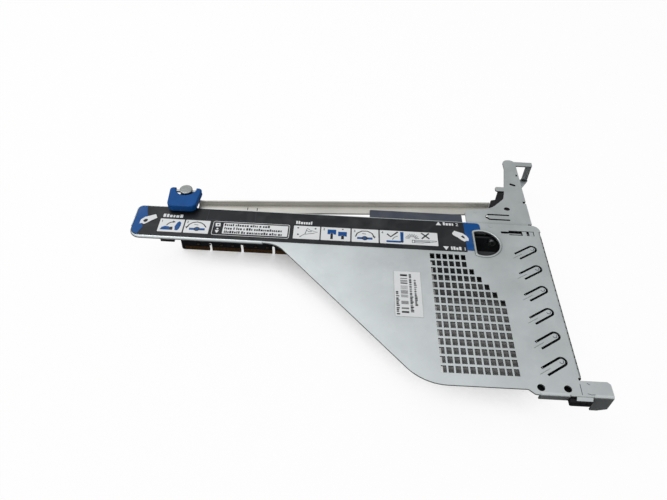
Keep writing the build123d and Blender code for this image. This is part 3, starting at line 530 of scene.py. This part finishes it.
# Pointing hands: a cuff, a thumb and a finger that presses
hands = {
    "outlines": (
        ((-90.9, -7.4), (-90.9, -3.9), (-88.8, -1.2), (-84.5, 0.9), (-82.2, 2.0), (-80.5, -1.3),
         (-83.7, -4.0), (-86.5, -6.8), (-87.9, -7.7), (-89.5, -7.0)),
        ((116.3, -1.1), (118.1, 1.4), (119.2, 0.9), (123.3, -0.6), (125.7, -2.8), (126.9, -5.0),
         (126.8, -7.5), (125.2, -7.5), (124.0, -8.3), (122.7, -7.6), (119.7, -4.8), (116.9, -2.7))),
    "spots": (((-89.2, -4.6), (-88.0, -3.0), (-86.3, -3.0), (-86.3, -5.0), (-87.7, -6.3)),
              ((122.0, -3.9), (123.1, -2.7), (124.1, -3.6), (124.6, -5.6), (123.4, -5.2))),
    "lift": 0.14,  # above the blue fields
}
signs = bmesh.new()
spots = bmesh.new()
for outline in hands["outlines"]:
    patch(signs, outline, filmTop + hands["lift"])
for spot in hands["spots"]:
    patch(spots, spot, filmTop + hands["lift"] + inkHeight)
finishPiece(signs, "handSigns", "panel_white")
finishPiece(spots, "handSignMarks", "label_black")


# Part label on the plate: a stack of bars between columns of print
partLabel = {
    "barSpan": (80.1, 84.4),
    "bars": ((-41.1, -39.6, 1.0), (-43.2, -42.5, 0.7), (-45.6, -44.0, 0.45), (-47.2, -46.3, 0.9),
             (-51.6, -48.4, 0.2), (-55.0, -52.2, 0.45), (-57.8, -55.6, 0.35), (-63.0, -60.5, 0.5),
             (-66.7, -65.5, 0.7), (-69.6, -68.3, 1.0)),  # y from, y to, share of ink
    "barPitch": 0.55,
    "columns": ((77.1, 79.0, -71.0, -53.4, 12), (85.5, 87.4, -68.9, -39.3, 22),
                (88.4, 90.0, -63.9, -43.8, 15)),
}
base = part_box("part_label")[1].z / mm
rows = bmesh.new()
for y0, y1, share in partLabel["bars"]:
    if share == 1.0:
        bar(rows, *partLabel["barSpan"], y0, y1, base)
        continue
    count = max(1, round((y1 - y0) / partLabel["barPitch"]))
    for i in range(count):
        y = y0 + (y1 - y0) * i / count
        bar(rows, *partLabel["barSpan"], y, y + (y1 - y0) / count * share, base)
for i, (x0, x1, y0, y1, letters) in enumerate(partLabel["columns"]):
    wordRow(rows, x0, x1, y0, y1, base, letters, wordSeeds["partLabel"] + i, True)
finishPiece(rows, "partLabelPrint", "label_black")
print("label printed")


# Small trim: black pads of painted shade behind the horn's cuts, ticks on the rail, a light lip over the
# retainer
trim = {
    "padTop": 27.5,
    "padThick": 0.5,
    # x, y, length, width, angle
    "pads": ((166.4, 54.6, 6.4, 3.6, -25), (171.4, 35.4, 2.4, 3.2, 0), (170.4, 65.4, 2.2, 3.0, 0)),
    "ticks": ((-22.8, 13.3, 15.9), (-16.2, 13.1, 15.7)),  # x, y from, y to
    "tickWidth": 0.55,
    "railTop": 27.6,
    "lip": (171.4, 180.1, -120.6, -119.02, 27.65, 29.3),  # x from, x to, y from, y to, z from, z to
}
# painted shade: black pads under the horn's slit and nicks, so that the cuts look dark
pads = bmesh.new()
for x, y, long, wide, angle in trim["pads"]:
    centre = Matrix.Translation((x, y, trim["padTop"] - trim["padThick"] / 2))
    lean = Matrix.Rotation(math.radians(angle), 4, "Z")
    matrix = centre @ lean @ Matrix.Diagonal((long, wide, trim["padThick"], 1))
    bmesh.ops.create_cube(pads, size=1, matrix=matrix)
finishPiece(pads, "hornCutShadePads", "black_plastic")

marks = bmesh.new()
for x, y0, y1 in trim["ticks"]:
    bar(marks, x, x + trim["tickWidth"], y0, y1, trim["railTop"])
finishPiece(marks, "railTicks", "label_black")

lip = bmesh.new()
x0, x1, y0, y1, z0, z1 = trim["lip"]
ends = [[lip.verts.new((x, y, z)) for y, z in ((y0, z0), (y1, z0), (y1, z1))] for x in (x0, x1)]
lip.faces.new(ends[0])
lip.faces.new(ends[1])
for i in range(3):
    k = (i + 1) % 3
    lip.faces.new((ends[0][i], ends[0][k], ends[1][k], ends[1][i]))
finishPiece(lip, "retainerLip", "galvanised_steel")

# Spring tongues: a painted shade line on the crease at each root, a painted shade arc round each dimple, a
# painted shade line on the tail's crease and two short dark marks by it; rivet tops flush with the plate
tongues = {
    "start": (157.0, -18.8),
    "pitch": -17.2,
    "count": 6,
    "angle": 33.0,
    "rib": (-3.4, 4.2, 0.3),  # from and to along the tongue, and width
    "ring": (12.9, 1.15, 0.38, 190, 400),  # place along the tongue, radius, width, from and to in degrees
    "rivetTops": ((143.5, 8.1, 29.6), (135.0, 22.9, 28.6)),  # x, y, height
    "rivetRadius": 1.32,
    "tailMarks": (((174.4, -118.0), (174.6, -111.4)), ((178.6, -110.7), (180.0, -111.6)),
                  ((177.4, -117.0), (179.4, -117.7), (181.4, -117.5))),
    "tailWidth": 0.3,
}
plateTop = 29.6
# painted shade: darker steel lines at the tongue roots, dark arcs on one side of the dimples and a dark line
# on the tail's crease
rootShadeLines = bmesh.new()
tongueShadeMarks = bmesh.new()
turned = math.radians(tongues["angle"])
for i in range(tongues["count"]):
    x, y = tongues["start"][0], tongues["start"][1] + tongues["pitch"] * i
    start, end, width = tongues["rib"]
    ends = [(x + along * math.cos(turned), y + along * math.sin(turned)) for along in (start, end)]
    stroke(rootShadeLines, ends, width, plateTop)
    along, radius, width, first, last = tongues["ring"]
    centre = (x + along * math.cos(turned), y + along * math.sin(turned))
    stroke(tongueShadeMarks, arcPoints(*centre, radius, first, last, 10), width, plateTop)
for points in tongues["tailMarks"]:
    stroke(tongueShadeMarks, points, tongues["tailWidth"], plateTop)
finishPiece(rootShadeLines, "tongueRootShadeLines", "latch_steel")
finishPiece(tongueShadeMarks, "tongueShadeArcs", "slate_film")
tops = bmesh.new()
for x, y, height in tongues["rivetTops"]:
    disc(tops, x, y, tongues["rivetRadius"], height)
finishPiece(tops, "rivetTops", "galvanised_steel")
print("trim placed")


# Studio
camera = {
    "place": (0.03773, -0.28202, 0.30607),
    "right": (0.998574, 0.038494, 0.036984),
    "down": (0.053379, -0.727297, -0.684244),
    "lens": 31.828,
    "sensor": 36.0,
    "clipStart": 0.01,
}
right, down = Vector(camera["right"]).normalized(), Vector(camera["down"]).normalized()
ahead = right.cross(down)
turn = Matrix((right, -down, -ahead)).transposed()
lensData = bpy.data.cameras.new("photoCamera")
lensData.lens = camera["lens"]
lensData.sensor_width = camera["sensor"]
lensData.clip_start = camera["clipStart"]
photoCamera = bpy.data.objects.new("photoCamera", lensData)
photoCamera.matrix_world = Matrix.Translation(camera["place"]) @ turn.to_4x4()
bpy.context.scene.collection.objects.link(photoCamera)
bpy.context.scene.camera = photoCamera

studio = {
    "floorSize": 6.0,
    "floorDrop": 0.0002,
    "floorColour": (0.96, 0.96, 0.96),
    "floorGlow": 0.95,  # share of plain white that the camera sees in the open
    "mirrorGlow": 0.03,  # the same as a mirror sees it, so that upright faces stay dark
    "shadeReach": 0.09,  # the glow fades where something stands this close above
    "shadeFade": (0.05, 0.4),  # open sky where the glow starts, and where it is full
    "worldLight": 0.3,
    "roomLean": (-0.35, -0.9, 1.0),  # direction in which the mirrored room grows lighter
    "roomTones": (-0.18, 0.3, 0.28, 1.12),  # from and to along it, then the strength at each
    "keyPower": 6.0,
    "keySize": 0.7,
    "keyPlace": (-0.35, 0.25, 0.95),
    "fillPower": 0.8,
    "fillPlace": (-0.6, -0.5, 0.7),
    "lampAim": (0.05, -0.03, 0.02),
}
bm = bmesh.new()
bmesh.ops.create_grid(bm, x_segments=1, y_segments=1, size=studio["floorSize"] / 2)
bmesh.ops.translate(bm, vec=(0, 0, cadLow.z - studio["floorDrop"]), verts=bm.verts)
mesh = bpy.data.meshes.new("studioFloor")
bm.to_mesh(mesh)
bm.free()
studioFloor = bpy.data.objects.new("studioFloor", mesh)
bpy.context.scene.collection.objects.link(studioFloor)


def seenRays(tree):
    # one where the camera, a mirror or glass looks
    path = tree.nodes.new("ShaderNodeLightPath")
    total = path.outputs["Is Camera Ray"]
    for name in ("Is Glossy Ray", "Is Transmission Ray"):
        add = tree.nodes.new("ShaderNodeMath")
        add.operation = "MAXIMUM"
        tree.links.new(total, add.inputs[0])
        tree.links.new(path.outputs[name], add.inputs[1])
        total = add.outputs["Value"]
    return total


floorFinish = newFinish("floorPaper", studio["floorColour"], 0.9)
tree = floorFinish.node_tree
overhead = tree.nodes.new("ShaderNodeAmbientOcclusion")
overhead.samples = 8
overhead.inputs["Distance"].default_value = studio["shadeReach"]
fade = tree.nodes.new("ShaderNodeMapRange")
fade.inputs["From Min"].default_value, fade.inputs["From Max"].default_value = studio["shadeFade"]
fade.inputs["To Max"].default_value = studio["floorGlow"]
tree.links.new(overhead.outputs["AO"], fade.inputs["Value"])
share = tree.nodes.new("ShaderNodeMath")
share.operation = "MULTIPLY"
tree.links.new(seenRays(tree), share.inputs[0])
tree.links.new(fade.outputs["Result"], share.inputs[1])
path = tree.nodes.new("ShaderNodeLightPath")
tone = tree.nodes.new("ShaderNodeMapRange")
tone.inputs["To Min"].default_value = 1.0
tone.inputs["To Max"].default_value = studio["mirrorGlow"]
tree.links.new(path.outputs["Is Glossy Ray"], tone.inputs["Value"])
glow = tree.nodes.new("ShaderNodeEmission")
tree.links.new(tone.outputs["Result"], glow.inputs["Strength"])
mixer = tree.nodes.new("ShaderNodeMixShader")
tree.links.new(share.outputs["Value"], mixer.inputs["Fac"])
tree.links.new(tree.nodes["Principled BSDF"].outputs["BSDF"], mixer.inputs[1])
tree.links.new(glow.outputs["Emission"], mixer.inputs[2])
tree.links.new(mixer.outputs["Shader"], tree.nodes["Material Output"].inputs["Surface"])
studioFloor.data.materials.append(floorFinish)

# Painted shade: dark sheets close under the plate and the wing, so that the cuts and the grid show shade and
# not white paper
paintedShadeSheets = {
    # outline and painted shade tone; the grid's shade is darkest at the back and lighter towards the front
    "cuts": (((150, -112), (155, -117), (174, -117), (174, 8), (171, 8), (171, 22), (142, 22), (142, 19),
              (129.5, 19), (129.5, 3.2), (154, 3.2), (154, -8), (158.3, -8), (158.3, -107), (150, -107)),
             (0.008, 0.01, 0.014)),
    "gridBack": (((102, -37), (158.2, -37), (158.2, -12), (102, -12)), (0.015, 0.016, 0.018)),
    "gridMiddle": (((102, -55), (158.2, -55), (158.2, -37), (102, -37)), (0.1, 0.1, 0.1)),
    "gridFront": (((102, -106.9), (158.2, -106.9), (158.2, -55), (102, -55)), (0.26, 0.26, 0.26)),
}
shadeSheetTop = 25.32  # about 4 mm under the plate
for name, (outline, tone) in paintedShadeSheets.items():
    bm = bmesh.new()
    bm.faces.new([bm.verts.new((x, y, shadeSheetTop)) for x, y in outline])
    bmesh.ops.scale(bm, vec=(mm, mm, mm), verts=bm.verts)
    mesh = bpy.data.meshes.new(name + "ShadeSheet")
    bm.to_mesh(mesh)
    bm.free()
    mesh.materials.append(newFinish(name + "ShadeSheet", tone, 0.9))
    sheet = bpy.data.objects.new(name + "ShadeSheet", mesh)
    bpy.context.scene.collection.objects.link(sheet)

world = bpy.data.worlds.new("studioWorld")
world.use_nodes = True
bpy.context.scene.world = world
tree = world.node_tree
backdrop = tree.nodes["Background"]
strength = tree.nodes.new("ShaderNodeMapRange")
strength.inputs["To Min"].default_value = studio["worldLight"]
strength.inputs["To Max"].default_value = 1.0
tree.links.new(seenRays(tree), strength.inputs["Value"])
backdrop.inputs["Color"].default_value = (1, 1, 1, 1)
# a mirror sees a darker room low at the back and to the rear end
where = tree.nodes.new("ShaderNodeTexCoord")
along = tree.nodes.new("ShaderNodeVectorMath")
along.operation = "DOT_PRODUCT"
along.inputs[1].default_value = studio["roomLean"]
tree.links.new(where.outputs["Generated"], along.inputs[0])
room = tree.nodes.new("ShaderNodeMapRange")
for name, value in zip(("From Min", "From Max", "To Min", "To Max"), studio["roomTones"]):
    room.inputs[name].default_value = value
tree.links.new(along.outputs["Value"], room.inputs["Value"])
path = tree.nodes.new("ShaderNodeLightPath")
pick = tree.nodes.new("ShaderNodeMix")
tree.links.new(path.outputs["Is Glossy Ray"], pick.inputs[0])
tree.links.new(strength.outputs["Result"], pick.inputs[2])
tree.links.new(room.outputs["Result"], pick.inputs[3])
tree.links.new(pick.outputs[0], backdrop.inputs["Strength"])

for name in ("key", "fill"):
    lamp = bpy.data.lights.new(name + "Lamp", "AREA")
    lamp.energy = studio[name + "Power"]
    lamp.shape = "SQUARE"
    lamp.size = studio["keySize"]
    holder = bpy.data.objects.new(name + "Lamp", lamp)
    holder.location = studio[name + "Place"]
    aim = Vector(studio["lampAim"]) - holder.location
    holder.rotation_euler = aim.to_track_quat("-Z", "Y").to_euler()
    bpy.context.scene.collection.objects.link(holder)
bpy.context.scene.view_settings.view_transform = "Standard"
print("studio ready")
